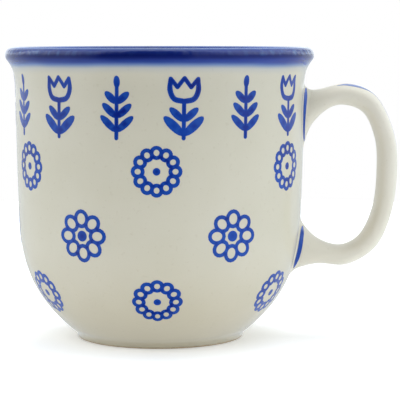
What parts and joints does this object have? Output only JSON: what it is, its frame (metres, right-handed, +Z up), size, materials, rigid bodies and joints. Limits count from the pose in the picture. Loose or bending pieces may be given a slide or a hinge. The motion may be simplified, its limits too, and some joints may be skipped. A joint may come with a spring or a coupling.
{
  "type": "stoneware mug",
  "caption": "Round-bellied glazed stoneware mug with a flared rolled lip, a turned foot ring and a looped strap handle.",
  "frame": {"origin": "centre of the whole mug's bounding box in plan, on the table under the foot ring", "axes": "+Z up out of the mouth, +X from the cup's axis towards the handle"},
  "size_m": [0.1196, 0.094, 0.0887],
  "materials": {
    "cup_glaze": "clear glossy glaze over warm off-white stoneware, with cobalt blue underglaze decoration",
    "handle_glaze": "clear glossy glaze over warm off-white stoneware",
    "slip_glaze": "smoothed slip under the same clear glossy glaze"
  },
  "bodies": {
    "root": {"cup_body": "cup_glaze", "handle": "handle_glaze", "upper_slip_joint": "slip_glaze", "lower_slip_joint": "slip_glaze"}
  },
  "joints": []
}
